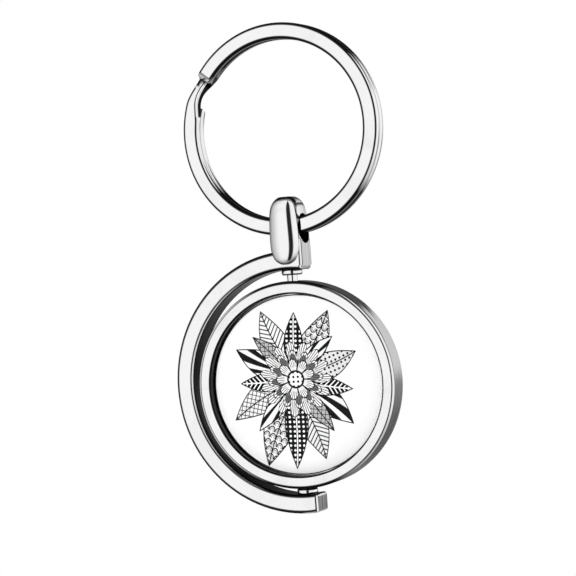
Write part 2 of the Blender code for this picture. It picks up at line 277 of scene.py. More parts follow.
# %% Cut both ends on a slant
BURR_WIDTH = 0.14 * MM
PINCH_REACH = math.radians(6.0)
cross_end_x = WINDING_RADIUS * (FRONT_END - math.tau + END_SLANT)
cross_start_x = cross_end_x + WINDING_RADIUS * CROSSING
cross_middle_x = (cross_start_x + cross_end_x) / 2
pinch_half = WINDING_RADIUS * (CROSSING / 2 + PINCH_REACH)
slant_run = WINDING_RADIUS * END_SLANT
cut_tilt = Vector((WIRE_THICKNESS, 0, slant_run)).normalized()
front_cut = WINDING_RADIUS * FRONT_END + slant_run / 2
back_cut = WINDING_RADIUS * (FRONT_END - WOUND) - slant_run / 2
for cut_x, outward in ((front_cut, 1), (back_cut, -1)):
    choose_faces(wire, lambda centre, normal: True)
    bpy.ops.mesh.bisect(
        plane_co=(cut_x, 0, 0), plane_no=cut_tilt * outward, use_fill=True, clear_outer=True
    )
choose_faces(wire, lambda centre, normal: abs(normal.x) > 0.5)
bpy.ops.mesh.inset(thickness=BURR_WIDTH)
hold(wire)
bpy.ops.object.shade_smooth_by_angle(angle=SMOOTH_ANGLE)
print("wire length in mm:", round((front_cut - back_cut) / MM, 1))

# %% [markdown]
# ## Painted dark reflections along the edges
# In a white studio a polished edge is seen as a thin dark line, because its rounding sweeps past
# the dark room behind the lights. The rounding is a fraction of a millimetre wide, and a line as
# crisp as the real one needs a darker tone there than the studio alone can give, so that dark
# reflection is painted into the colour. The tone is worked out once from the way each corner of
# the mesh faces, and kept on the mesh as a number from 0 to 1 that the finish reads. It goes by the
# angle that the surface has turned through, from 0 on a flat face to 90 on a wall. Rounded edges
# that face left stay dark up to their wall. Those that face right show a narrow line, as their
# outer part catches the tent again. Some walls get a painted shade too: the deep walls of the bar's
# hollow, the bezel, the hole and the crossing, and some that face up or down, which the photograph
# shows darker.

# %% Tones from angles
LINE_START = 8
LEFT_LINE_END = 78
RIGHT_LINE_END = 40
LINE_FADE = 8
CHAMFER_LINES = ((9, 27), (63, 83))
CHAMFER_DARK = (14, 80, 12)
TURNS_SIDEWAYS = (0.35, 0.7)


def ramp(value, start, end):
    """Rises from 0 to 1 as the value goes from start to end."""
    return min(max((value - start) / (end - start), 0), 1)


def turned(flat, wall):
    """Degrees from the flat side towards the wall, from the normal's two parts."""
    return math.degrees(math.atan2(abs(wall), abs(flat)))


def dusk(degrees, start, end, fade=LINE_FADE):
    """The tone of an edge: 1 between these two angles and 0 outside them."""
    rise = ramp(degrees, start - fade / 2, start + fade / 2)
    return rise * ramp(degrees, end + fade / 2, end - fade / 2)


def line_dusk(degrees, toward_x):
    """The tone of a rounded edge: dark up to its wall where it faces left, a fine line at right."""
    return dusk(degrees, LINE_START, LEFT_LINE_END if toward_x < 0 else RIGHT_LINE_END)


def chamfer_dusk(degrees, sideways):
    """The tone of a chamfered edge: bright in its middle where it faces sideways, else dark."""
    lines = sum(dusk(degrees, *line) for line in CHAMFER_LINES)
    return max(lines, (1 - ramp(sideways, *TURNS_SIDEWAYS)) * dusk(degrees, *CHAMFER_DARK))


def mark_edges(piece, tone_of):
    """Keeps an edge tone, the painted dark reflection and shade, at every corner of every face.
    tone_of(place, normal) works it out.
    """
    mesh = piece.data
    tone = mesh.attributes.new("edge", "FLOAT", "CORNER")
    for corner, normal, spot in zip(mesh.loops, mesh.corner_normals, tone.data):
        spot.value = tone_of(mesh.vertices[corner.vertex_index].co, normal.vector)
    mean = sum(spot.value for spot in tone.data) / len(tone.data)
    print(f"{piece.name}: mean edge tone {mean:.2f}")


print("fine lines lie between", LINE_START, "and", RIGHT_LINE_END, "degrees")

# %% Tone of the wire
SHADOW_REACH = 1.25 * MM
SHADOW_LEAST_SHARE = 0.35
SHADOW_TAPER = (0.7 * MM, 0.2 * MM)
SHADOW_CORE_SHARE = 0.8
FACES_FORWARD = 0.6
STEP_LINE = (0.34 * MM, 0.22 * MM)
STEP_FACING = 0.3
STEP_TONE = 0.93
CUT_RIM_TONE = 0.8
CUT_TONE = 0.25
WALL_START = 75
WALL_TONE = 0.75
GROOVE_SHARE = 0.5
UP_OR_DOWN = (0.45, 0.15)
UP_OR_DOWN_RISE = (5, 13)


def on_cut_rim(place):
    """Whether a point of a cut end lies on its outline."""
    over_y = max(abs(place.y) - (WIRE_WIDTH / 2 - WIRE_CORNER), 0)
    over_z = max(abs(place.z) - (WIRE_THICKNESS / 2 - WIRE_CORNER), 0)
    return math.hypot(over_y, over_z) > WIRE_CORNER - BURR_WIDTH / 2


def shadow_of_end(place, beyond_end):
    """The shadow that the front end throws on the turn under it, wider towards the inside."""
    wider = (1 - SHADOW_LEAST_SHARE) * ramp(place.y, *SHADOW_TAPER)
    reach = SHADOW_REACH * (SHADOW_LEAST_SHARE + wider)
    return ramp(beyond_end, reach, reach * SHADOW_CORE_SHARE)


def wire_tone(place, normal):
    """Painted tone on the wire: dark reflections on edges and on walls that face up or down, and
    painted shade in the dark places of the crossing.
    """
    # A cut end is darker, and its rim gets a painted dark line.
    if abs(normal.x) > 0.5:
        return CUT_RIM_TONE if on_cut_rim(place) else CUT_TONE
    beyond_end = place.x - cross_end_x
    if normal.z > FACES_FORWARD and -SHADOW_REACH < beyond_end < SHADOW_REACH:
        return shadow_of_end(place, beyond_end)
    near_crossing = abs(place.x - cross_middle_x) < pinch_half
    # Painted shade on the inner wall where the wire steps back under its end.
    if near_crossing and normal.y > STEP_FACING:
        return ramp(place.z, *STEP_LINE) if place.x > cross_end_x else STEP_TONE
    clock = place.x / WINDING_RADIUS - QUARTER
    degrees = turned(normal.z, normal.y)
    tone = line_dusk(degrees, -math.cos(clock) * normal.y)
    in_groove = normal.z < 0 if place.x > cross_middle_x else normal.z > 0
    if in_groove and not near_crossing:
        tone *= GROOVE_SHARE
    # Walls near the top and bottom of the ring get a painted dark reflection.
    shaded = 1 if degrees < WALL_START else WALL_TONE
    up_or_down = ramp(math.cos(2 * clock), *UP_OR_DOWN) * shaded * ramp(degrees, *UP_OR_DOWN_RISE)
    return max(tone, up_or_down)


mark_edges(wire, wire_tone)

# %% Pinch the crossing and step it back
FRONT_PINCH = 1.1 * MM
BACK_PINCH = 0.7 * MM
PINCH_NARROWS = (-15, -4)
PINCH_WIDENS = (27, 4)
layer = (WIRE_THICKNESS + TURN_GAP) / 2


def eased(value, start, end):
    """Rises smoothly from 0 to 1 as the value goes from start to end."""
    share = ramp(value, start, end)
    return share * share * (3 - 2 * share)


def crossed(x):
    """How far the wire has stepped back at this place, from 0 to 1."""
    return eased(x, cross_start_x, cross_end_x)


def front_pinch(x):
    """The front corner is narrowest under the end, and widens again on both sides of it."""
    past_end = math.degrees((x - cross_end_x) / WINDING_RADIUS)
    return FRONT_PINCH * eased(past_end, *PINCH_WIDENS) * eased(past_end, *PINCH_NARROWS)


def back_pinch(x):
    """The back corner is drawn in only where the wire steps back."""
    return BACK_PINCH * eased(abs(x - cross_middle_x), pinch_half, 0)


station_places = [wire_left + station_step * i for i in range(STATIONS + 1)]
pinched = [x for x in station_places if front_pinch(x) + back_pinch(x) > 0]
for x in pinched:
    for side, depth in ((1, front_pinch(x)), (-1, back_pinch(x))):
        choose_points(
            wire, lambda p: abs(p.x - x) < station_step / 4 and p.y > 0 and p.z * side > 0
        )
        bpy.ops.transform.translate(value=(0, -depth, 0))
choose_points(wire, lambda p: True)
bpy.ops.transform.translate(value=(0, 0, layer))
crossing_places = [
    x for x in reversed(station_places) if cross_end_x - station_step < x < cross_start_x
]
for x in crossing_places:
    step = crossed(x) - crossed(x + station_step)
    choose_points(wire, lambda p: p.x < x + station_step / 4)
    bpy.ops.transform.translate(value=(0, 0, -2 * layer * step))
print("stations pinched:", len(pinched), "and stepped:", len(crossing_places))

# %% Wind the wire
hold(wire)
along_wire = [point.co.x for point in wire.data.vertices]
modify(
    wire, "SIMPLE_DEFORM", deform_method="BEND", deform_axis="Z",
    angle=(max(along_wire) - min(along_wire)) / WINDING_RADIUS,
)
ring_centre_z = -(RING_RADIUS - WIRE_WIDTH)
wire.rotation_euler = (QUARTER, 0, 0)
wire.location = (0, 0, ring_centre_z - WINDING_RADIUS)
hold(wire)
bpy.ops.object.transform_apply(location=True, rotation=True, scale=True)
tidy(wire)
deliver(wire, "ring", "bright_steel", "split_ring")

# %% [markdown]
# ## The half-moon casting
# The bar is most of a flat ring, so it starts as a coin: a disc, cut straight across at the right
# where both ends lie, and punched out in the middle. All its edges are rounded but the upper edge
# of the upper end, which the loop covers.

# %% Bar
BAR_INNER_RADIUS = 16.95 * MM
BAR_OUTER_RADIUS = 19.8 * MM
BAR_THICKNESS = 4.15 * MM
BAR_EDGE = 0.52 * MM
BAR_OUTER_EDGE = 0.6 * MM
BAR_END_X = 2.4 * MM
BAR_RISE = 0.41 * MM
BAR_SIDES = 120
BAR_END_MARGIN = BAR_EDGE / 10
OUTER_MARGIN = 1.0 * MM
ON_FACE_SHARE = 0.99
bar_centre = DISC_CENTRE + Vector((0, 0, BAR_RISE))
bar_middle_radius = (BAR_INNER_RADIUS + BAR_OUTER_RADIUS) / 2


def lying_cylinder(name, radius, depth, centre, sides, turn=0.0):
    """A cylinder whose axis runs from front to back."""
    rest()
    bpy.ops.mesh.primitive_cylinder_add(
        vertices=sides, radius=radius, depth=depth, location=centre, rotation=(QUARTER, turn, 0)
    )
    return named(name)


half_side = math.pi / BAR_SIDES
bar = lying_cylinder(
    "half_moon_casting", BAR_OUTER_RADIUS, BAR_THICKNESS, bar_centre, BAR_SIDES, half_side
)
choose_faces(bar, lambda centre, normal: True)
bpy.ops.mesh.bisect(plane_co=(BAR_END_X, 0, 0), plane_no=(1, 0, 0), use_fill=True, clear_outer=True)
punch = lying_cylinder("punch", BAR_INNER_RADIUS, BAR_THICKNESS * 2, bar_centre, BAR_SIDES)
combine(bar, punch, "DIFFERENCE")
print("bar faces:", len(bar.data.polygons))

# %% Rounded edges of the bar
def round_bar(place):
    """Distance from the bar's own axis."""
    return math.hypot(place.x, place.z - bar_centre.z)


def on_face(start, end):
    """Whether an edge lies on the bar's front or back face."""
    return abs(start.y + end.y) > BAR_THICKNESS * ON_FACE_SHARE


def at_end(start, end):
    """Whether an edge lies on one of the bar's two cut ends."""
    return min(start.x, end.x) > BAR_END_X - BAR_END_MARGIN


def under_loop(start, end):
    """The upper edge of the upper end, which the loop covers."""
    return at_end(start, end) and min(start.z, end.z) > bar_centre.z + bar_middle_radius


def is_inner_edge(start, end):
    """An edge of the bar's hollow side, or across an end of it."""
    across = abs(start.y - end.y) > BAR_THICKNESS / 2
    hollow = max(round_bar(start), round_bar(end)) < bar_middle_radius
    end_corner = across and at_end(start, end)
    face_edge = on_face(start, end) and (hollow or at_end(start, end))
    return (end_corner or face_edge) and not under_loop(start, end)


def is_outer_edge(start, end):
    """An edge of the bar's outer side."""
    outside = min(round_bar(start), round_bar(end)) > bar_middle_radius + OUTER_MARGIN
    return outside and on_face(start, end)


for is_edge, width in ((is_inner_edge, BAR_EDGE), (is_outer_edge, BAR_OUTER_EDGE)):
    found = choose_edges(bar, is_edge)
    bpy.ops.mesh.bevel(offset=width, offset_type="OFFSET", segments=EDGE_STEPS, affect="EDGES")
    rest()
    print("bar edges rounded:", found)

# %% [markdown]
# The loop is as smooth as a pebble, so it is box-modelled: a block is cut into a coarse cage, each
# level of the cage is drawn in to give the arched top and the round foot, and a Subdivision Surface
# rounds it off. The middle of the front is drawn out a little, which crowns it. A stem block behind
# the foot carries the loop's side straight down into the cut end of the bar, as the casting does,
# and the hole is taken out last, through everything.

# %% Loop
LOOP_HALF_WIDTH = 2.6 * MM
LOOP_HALF_DEPTH = 3.03 * MM
CROWN_SHARE = 1.04
SHOULDER_SHARE = 0.97
CORNER_SHARE = 0.82
WIDTH_CUT_SHARES = (-0.5, 0.0, 0.5)
DEPTH_CUT_SHARES = (-0.6, 0.0, 0.6)
# Each level has a height and its shares of the block's width and depth.
LEVELS = (
    (0.00 * MM, 0.25, 0.82),
    (0.35 * MM, 0.60, 0.93),
    (1.10 * MM, 0.86, 0.99),
    (2.50 * MM, 0.99, 1.00),
    (4.70 * MM, 0.98, 1.00),
    (7.10 * MM, 0.94, 1.00),
    (8.70 * MM, 0.87, 0.93),
    (9.65 * MM, 0.70, 0.74),
    (10.25 * MM, 0.42, 0.46),
)
NEARLY = 0.999
LOOP_FOOT_RISE = 18.08 * MM
LOOP_ROUNDINGS = 3
loop_foot_z = DISC_CENTRE.z + LOOP_FOOT_RISE


def block(name, low, high):
    """A block between two corners."""
    rest()
    low, high = Vector(low), Vector(high)
    bpy.ops.mesh.primitive_cube_add(size=1, location=(low + high) / 2)
    bpy.context.object.scale = high - low
    return named(name)


loop = block(
    "loop",
    (-LOOP_HALF_WIDTH, -LOOP_HALF_DEPTH, loop_foot_z),
    (LOOP_HALF_WIDTH, LOOP_HALF_DEPTH, loop_foot_z + LEVELS[-1][0]),
)
cuts = [((share * LOOP_HALF_WIDTH, 0, 0), (1, 0, 0)) for share in WIDTH_CUT_SHARES]
cuts += [((0, share * LOOP_HALF_DEPTH, 0), (0, 1, 0)) for share in DEPTH_CUT_SHARES]
cuts += [((0, 0, loop_foot_z + height), (0, 0, 1)) for height, _, _ in LEVELS[1:-1]]
for plane_place, plane_normal in cuts:
    choose_faces(loop, lambda centre, normal: True)
    bpy.ops.mesh.bisect(plane_co=plane_place, plane_no=plane_normal)
for share, depth_share in ((0.0, CROWN_SHARE), (0.5, SHOULDER_SHARE)):
    choose_points(
        loop, lambda p: level(abs(p.x), share * LOOP_HALF_WIDTH) and abs(p.y) > LOOP_HALF_DEPTH * NEARLY
    )
    bpy.ops.transform.resize(value=(1, depth_share, 1), center_override=(0, 0, 0))
choose_points(
    loop, lambda p: abs(p.x) > LOOP_HALF_WIDTH * NEARLY and abs(p.y) > LOOP_HALF_DEPTH * NEARLY
)
bpy.ops.transform.resize(value=(CORNER_SHARE, CORNER_SHARE, 1), center_override=(0, 0, 0))
for height, width_share, depth_share in LEVELS:
    choose_points(loop, lambda p: level(p.z, loop_foot_z + height))
    bpy.ops.transform.resize(value=(width_share, depth_share, 1), center_override=(0, 0, 0))
rest()
modify(loop, "SUBSURF", levels=LOOP_ROUNDINGS)
print("loop faces:", len(loop.data.polygons), "from", len(LEVELS), "levels")

# %% Stem, hole and union
STEM_HALF_DEPTH = BAR_THICKNESS / 2
STEM_START_X = 0.5 * MM
STEM_END_X = 2.58 * MM
HOLE_RADIUS = 1.95 * MM
HOLE_DROP = 0.65 * MM
HOLE_SIDES = 96

stem = block(
    "stem",
    (STEM_START_X, -STEM_HALF_DEPTH, bar_centre.z + BAR_INNER_RADIUS + BAR_EDGE),
    (STEM_END_X, STEM_HALF_DEPTH, SWING.z - HOLE_RADIUS),
)
choose_edges(
    stem, lambda start, end: not level(start.z, end.z) and min(start.x, end.x) > STEM_END_X / 2
)
bpy.ops.mesh.bevel(offset=BAR_EDGE, offset_type="OFFSET", segments=EDGE_STEPS, affect="EDGES")
rest()
bpy.ops.mesh.primitive_cylinder_add(
    vertices=HOLE_SIDES, radius=HOLE_RADIUS, depth=LOOP_HALF_WIDTH * 3,
    location=SWING, rotation=(0, QUARTER, 0),
)
drill = named("drill")
choose_points(drill, lambda p: p.z < SWING.z - ROUNDING_ERROR)
bpy.ops.transform.translate(value=(0, 0, -HOLE_DROP))
rest()
combine(bar, stem, "UNION")
combine(bar, loop, "UNION")
combine(bar, drill, "DIFFERENCE")
print("casting faces:", len(bar.data.polygons))

# %% [markdown]
# The flat right side of the stem and the cut end of the bar were ground on a belt, which leaves
# streaks that run up and down. The side is cut into strips, so that each can have its own tone.
# The low cut end is also painted darker overall, a painted shade.

# %% Ground strips
# Each streak has a depth in mm and a tone.
STREAKS = (
    (-1.75, 0.30), (-1.45, 0.05), (-1.15, 0.22), (-0.90, 0.02), (-0.60, 0.10), (-0.30, 0.34),
    (-0.05, 0.12), (0.25, 0.00), (0.50, 0.26), (0.75, 0.05), (1.05, 0.18), (1.30, 0.02),
    (1.60, 0.28), (1.85, 0.08),
)
FLAT_FACING = 0.99
FLAT_MARGIN = 0.01 * MM


def on_flat_side(place, normal):
    """Whether this belongs to the flat right side of the stem or to a cut end of the bar."""
    return normal.x > FLAT_FACING and place.x > BAR_END_X - FLAT_MARGIN


for depth, _ in STREAKS:
    choose_faces(bar, on_flat_side)
    bpy.ops.mesh.bisect(plane_co=(0, depth * MM, 0), plane_no=(0, 1, 0))
rest()
tidy(bar)
print("streaks:", len(STREAKS))

# %% Tone of the casting
HOLE_FACING = 0.8
PROUD_SHARE = 1.01
BEYOND_SHARE = 1.1
# The cut end's streaks are stronger and sit on a painted shade.
CUT_END_STREAKS_AND_SHADE = (1.3, 0.22)
SIDE_STREAKS = (0.8, 0.0)
LOOP_SHADE = 0.62
LOOP_SHADE_RISE = (5, 42)
LOOP_SHADE_FALL = (88, 70)
LOOP_LEFT_LINE = (42, 78)
LOOP_RIGHT_LINE = (63, 72, 5)
END_FACING_SHARE = 1.2
END_CORNER = 0.3
INNER_WALL_START = 72
INNER_FADE = 0.2
INNER_FADE_SHARE = 2.2


def streak_tone(place):
    """The tone of the grinding streak at this depth, on the flat side and the cut end. The low cut end
    also gets a painted shade over its whole face.
    """
    _, tone = min(STREAKS, key=lambda streak: abs(streak[0] * MM - place.y))
    strength, base = CUT_END_STREAKS_AND_SHADE if place.z < DISC_CENTRE.z else SIDE_STREAKS
    return tone * strength + base


def in_hole(place, normal):
    """Whether this belongs to the wall of the loop's hole."""
    to_swing = (SWING - place).yz
    near = to_swing.length < HOLE_RADIUS + HOLE_DROP * BEYOND_SHARE
    return near and normal.yz.dot(to_swing.normalized()) > HOLE_FACING


def loop_tone(place, normal):
    """The loop has a shade on its left and its foot, and a line all round it."""
    on_foot = place.z < loop_foot_z + LOOP_HALF_WIDTH
    flat, wall = (normal.y, normal.xz.length) if on_foot else (normal.yz.length, normal.x)
    left_or_down = turned(normal.y, math.hypot(min(normal.x, 0), min(normal.z, 0)))
    shade = ramp(left_or_down, *LOOP_SHADE_RISE) * ramp(left_or_down, *LOOP_SHADE_FALL)
    line = LOOP_LEFT_LINE if normal.x < 0 else LOOP_RIGHT_LINE
    return max(shade * LOOP_SHADE, dusk(turned(flat, wall), *line))


def bar_tone(place, normal):
    """The bar's edges carry painted dark reflections along its arc and its ends. Its inner wall gets a
    painted shade, darkest by the face.
    """
    outward = Vector((place.x, 0, place.z - bar_centre.z))
    across = normal.dot(outward.normalized())
    near_end = place.x > BAR_END_X - BAR_EDGE * BEYOND_SHARE
    if near_end and abs(normal.x) > abs(across) * END_FACING_SHARE:
        return chamfer_dusk(turned(normal.y, normal.x), 1) * (abs(normal.z) < END_CORNER)
    degrees = turned(normal.y, across)
    if outward.length > bar_middle_radius:
        return line_dusk(degrees, place.x)
    if degrees < INNER_WALL_START:
        return chamfer_dusk(degrees, abs(place.x) / outward.length)
    to_face = BAR_THICKNESS / 2 - abs(place.y)
    return 1 - ramp(to_face, BAR_EDGE, BAR_EDGE * INNER_FADE_SHARE) * INNER_FADE


def casting_tone(place, normal):
    """The tone of the part of the casting that this place belongs to."""
    # The wall of the loop's hole is painted black, a painted shade.
    if in_hole(place, normal):
        return 1.0
    if on_flat_side(place, normal) and place.z < SWING.z:
        return streak_tone(place)
    if abs(place.y) > STEM_HALF_DEPTH * PROUD_SHARE or place.z > SWING.z - HOLE_RADIUS:
        return loop_tone(place, normal)
    return bar_tone(place, normal)


mark_edges(bar, casting_tone)
deliver(bar, "frame", "polished_chrome", "half_moon_frame")

# %% [markdown]
# ## The pivot pins
# Each pin is turned from one rod: a stem pressed into the bar, a round collar that the medallion
# runs against, and a thin journal. It starts as the collar. Insetting an end face and extruding it
# gives the thinner lengths, as a lathe would leave them, and a bevel rounds the collar. The second
# pin is the first one copied and turned over.

# %% Pins
COLLAR_RADIUS = 1.6 * MM
COLLAR_HEIGHT = 0.9 * MM
COLLAR_ROUNDING = 0.34 * MM
JOURNAL_RADIUS = 0.82 * MM
STEM_RADIUS = 0.8 * MM
STEM_LENGTH = 1.8 * MM
PIN_SIDES = 64
FINE_STEPS = 6
upper_low, upper_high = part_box("upper_pivot_pin")
lower_low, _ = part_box("lower_pivot_pin")
collar_top_z = upper_high.z - STEM_LENGTH
collar_foot_z = collar_top_z - COLLAR_HEIGHT


def is_collar_rim(start, end):
    """An edge of the collar's two round rims."""
    outermost = min(start.xy.length, end.xy.length) > COLLAR_RADIUS * NEARLY
    return outermost and level(start.z, end.z)


rest()
bpy.ops.mesh.primitive_cylinder_add(
    vertices=PIN_SIDES, radius=COLLAR_RADIUS, depth=COLLAR_HEIGHT,
    location=(0, 0, (collar_top_z + collar_foot_z) / 2),
)
upper_pin = named("upper_pin")
for side, radius, end_z, start_z in (
    (1, STEM_RADIUS, upper_high.z, collar_top_z), (-1, JOURNAL_RADIUS, upper_low.z, collar_foot_z)
):
    choose_faces(upper_pin, lambda centre, normal: normal.z * side > NEARLY)
    bpy.ops.mesh.inset(thickness=COLLAR_RADIUS - radius)
    bpy.ops.mesh.extrude_region_move(TRANSFORM_OT_translate={"value": (0, 0, end_z - start_z)})
    rest()
choose_edges(upper_pin, is_collar_rim)
bpy.ops.mesh.bevel(
    offset=COLLAR_ROUNDING, offset_type="OFFSET", segments=FINE_STEPS, affect="EDGES"
)
rest()
print("collar from", round(collar_foot_z / MM, 2), "to", round(collar_top_z / MM, 2), "mm")

# %% Second pin and tones
# Faces of the pins that turn up or down get a painted dark reflection.
PIN_PAINTED_DARK = (0.25, 0.5)

lower_pin = upper_pin.copy()
lower_pin.data = upper_pin.data.copy()
lower_pin.name = lower_pin.data.name = "lower_pin"
bpy.context.scene.collection.objects.link(lower_pin)
lower_pin.rotation_euler = (math.pi, 0, 0)
lower_pin.location = (0, 0, lower_low.z + upper_high.z)
hold(lower_pin)
bpy.ops.object.transform_apply(location=True, rotation=True, scale=True)
for pin, node in ((upper_pin, "upper_pivot_pin"), (lower_pin, "lower_pivot_pin")):
    tidy(pin)
    mark_edges(pin, lambda place, normal: ramp(abs(normal.z), *PIN_PAINTED_DARK))
    deliver(pin, "frame", "polished_chrome", node)

# %% [markdown]
# ## The medallion body
# The body is a thick coin with a shallow round recess in each face, which leaves a rim and a thin
# web. An inset of each face draws the rim and an extrusion sinks the recess. The rim's outer edge
# gets a wide bevel and the bezel's inner edge a fine one. It is modelled square to the frame, and
# only then turned by the few degrees that the photograph shows, with its bores still upright.

# %% Medallion body
DISC_RADIUS = 15.65 * MM
DISC_THICKNESS = 4.6 * MM
RIM_WIDTH = 1.95 * MM
WEB_THICKNESS = 0.5 * MM
DISC_SIDES = 180
BEZEL_RADIUS = DISC_RADIUS - RIM_WIDTH

medallion = lying_cylinder("medallion_body", DISC_RADIUS, DISC_THICKNESS, DISC_CENTRE, DISC_SIDES)
recess_depth = (DISC_THICKNESS - WEB_THICKNESS) / 2
for side in (-1, 1):
    choose_faces(medallion, lambda centre, normal: normal.y * side > NEARLY)
    bpy.ops.mesh.inset(thickness=RIM_WIDTH)
    bpy.ops.mesh.extrude_region_move(TRANSFORM_OT_translate={"value": (0, -side * recess_depth, 0)})
print("recess depth in mm:", round(recess_depth / MM, 2))

# %% Edges and bores of the medallion
DISC_EDGE = 0.54 * MM
BEZEL_EDGE = 0.32 * MM
BORE_RADIUS = 0.87 * MM
BORE_DEPTH = 1.55 * MM
SEARCH_WIDTH = 0.1 * MM


def about_disc(place):
    """Distance from the medallion's axis."""
    return math.hypot(place.x, place.z - DISC_CENTRE.z)


def near_radius(place, radius):
    """Whether a point lies on one of the outermost circles, at this radius."""
    on_rim = abs(place.y) > DISC_THICKNESS * NEARLY_HALF
    return on_rim and abs(about_disc(place) - radius) < SEARCH_WIDTH


def is_circle_edge(start, end, radius):
    """Whether an edge is a piece of one of those circles."""
    return level(start.y, end.y) and near_radius(start, radius) and near_radius(end, radius)


for radius, width in ((DISC_RADIUS, DISC_EDGE), (BEZEL_RADIUS, BEZEL_EDGE)):
    found = choose_edges(medallion, lambda start, end: is_circle_edge(start, end, radius))
    bpy.ops.mesh.bevel(offset=width, offset_type="OFFSET", segments=FINE_STEPS, affect="EDGES")
    print("edges rounded:", found)
for side in (-1, 1):
    rest()
    bpy.ops.mesh.primitive_cylinder_add(
        vertices=PIN_SIDES, radius=BORE_RADIUS, depth=2 * BORE_DEPTH,
        location=DISC_CENTRE + Vector((0, 0, side * DISC_RADIUS)),
    )
    combine(medallion, named("bore"), "DIFFERENCE")
tidy(medallion)

# %% Tone and turn of the medallion
DISC_TURN = math.radians(3.0)
FACES_INWARD = -0.1
OUTER_WALL_START = 84
UNDERSIDE_PAINTED_SHADE = ((0.05, 0.35, 0.8), (0.35, 0.7, 0.15))


def turn_with_disc(piece):
    """Turns a finished piece about the upright pivot axis, as the medallion stands."""
    hold(piece)
    piece.rotation_euler = (0, 0, DISC_TURN)
    bpy.ops.object.transform_apply(location=True, rotation=True, scale=True)


def medallion_tone(place, normal):
    """Painted tone on the medallion: dark reflections on chamfered edges, and painted shade on the wall
    in the bezel and on the lower outer wall.
    """
    outward = Vector((place.x, 0, place.z - DISC_CENTRE.z))
    across = normal.dot(outward.normalized())
    if outward.length < BEZEL_RADIUS + BEZEL_EDGE * BEYOND_SHARE and across < FACES_INWARD:
        return 1.0
    degrees = turned(normal.y, across)
    if degrees > OUTER_WALL_START:
        down = -outward.z / outward.length
        return sum(ramp(down, start, end) * tone for start, end, tone in UNDERSIDE_PAINTED_SHADE)
    return chamfer_dusk(degrees, abs(place.x) / outward.length)


mark_edges(medallion, medallion_tone)
turn_with_disc(medallion)
deliver(medallion, "disc", "polished_chrome", "disc_rim")

# %% [markdown]
# ## The picture plates
# Each face of the medallion holds a thin printed plate on a pad of tape. The pad never shows, so
# the frame's own solid serves for it. A plate is a coin too thin to need more than a fine bevel,
# because all that it shows is its print.

# %% Plates
PLATE_RADIUS = 13.6 * MM
PLATE_THICKNESS = 0.3 * MM
PLATE_EDGE = 0.06 * MM
PLATE_OUTER_FACE = 0.67 * MM
PLATE_EDGE_STEPS = 2

plates = {}
for name, side in (("front", -1), ("back", 1)):
    centre = DISC_CENTRE + Vector((0, side * (PLATE_OUTER_FACE - PLATE_THICKNESS / 2), 0))
    plate = lying_cylinder(f"{name}_plate", PLATE_RADIUS, PLATE_THICKNESS, centre, DISC_SIDES)
    modify(plate, "BEVEL", width=PLATE_EDGE, segments=PLATE_EDGE_STEPS, limit_method="ANGLE")
    turn_with_disc(plate)
    tidy(plate)
    deliver(plate, "disc", "printed_plate", f"{name}_picture_plate")
    plates[name] = plate

# %% [markdown]
# ## Shader maths that reads as maths
# A finish is a sum of small effects, and in the node editor such sums grow into a maze. Here one
# small class stands for a socket. Python's own signs on it add Math nodes, and every other node
# comes from one method, so that a finish reads like the sentence that describes it.

# %% The class for sockets
class Value:
    """An output socket, on which +, -, *, / and comparisons add Math nodes."""

    def __init__(self, socket):
        self.socket = socket
        self.tree = socket.id_data

    def node(self, kind, settings=None, inputs=None):
        """Adds a node of this kind to the same tree: its settings first, then its sockets."""
        made = self.tree.nodes.new(kind)
        for name, value in (settings or {}).items():
            setattr(made, name, value)
        for key, value in (inputs or {}).items():
            if isinstance(value, Value):
                self.tree.links.new(value.socket, made.inputs[key])
            else:
                made.inputs[key].default_value = value
        return made

    def maths(self, operation, *others):
        """A Math node of this socket and the others."""
        inputs = dict(enumerate((self, *others)))
        return Value(self.node("ShaderNodeMath", {"operation": operation}, inputs).outputs[0])

    def __add__(self, other):
        return self.maths("ADD", other)

    def __mul__(self, other):
        return self.maths("MULTIPLY", other)

    __radd__ = __add__
    __rmul__ = __mul__

    def __sub__(self, other):
        return self.maths("SUBTRACT", other)

    def __rsub__(self, other):
        return (self * -1) + other

    def __truediv__(self, other):
        return self.maths("DIVIDE", other)

    def __neg__(self):
        return self * -1

    def __gt__(self, other):
        return self.maths("GREATER_THAN", other)

    def __lt__(self, other):
        return self.maths("LESS_THAN", other)

    def __abs__(self):
        return self.maths("ABSOLUTE")

    def step(self, start, end, low=0.0, high=1.0):
        """A smooth step from low to high as this goes from start to end."""
        settings = {"interpolation_type": "SMOOTHSTEP", "clamp": True}
        inputs = {"Value": self, "From Min": start, "From Max": end, "To Min": low, "To Max": high}
        return Value(self.node("ShaderNodeMapRange", settings, inputs).outputs[0])

    def parts(self):
        """X, Y and Z of a vector."""
        split = self.node("ShaderNodeSeparateXYZ", inputs={0: self})
        return [Value(output) for output in split.outputs]

    def joined(self, y, z):
        """A vector of this, y and z."""
        return Value(self.node("ShaderNodeCombineXYZ", inputs={0: self, 1: y, 2: z}).outputs[0])

    def noise(self, scale, detail=2.0, roughness=0.5):
        """Noise from 0 to 1 at this place."""
        inputs = {"Vector": self, "Scale": scale, "Detail": detail, "Roughness": roughness}
        return Value(self.node("ShaderNodeTexNoise", inputs=inputs).outputs["Fac"])

    def blend(self, first, second):
        """A colour between first and second, with this as the share of the second."""
        inputs = {0: self, 6: first, 7: second}
        mixed = self.node("ShaderNodeMix", {"data_type": "RGBA"}, inputs)
        return Value(mixed.outputs[2])

    def bump(self, strength, distance):
        """A normal that this height makes uneven."""
        inputs = {"Height": self, "Strength": strength, "Distance": distance}
        return Value(self.node("ShaderNodeBump", inputs=inputs).outputs[0])


print("signs that add Math nodes: + - * / < > and abs")

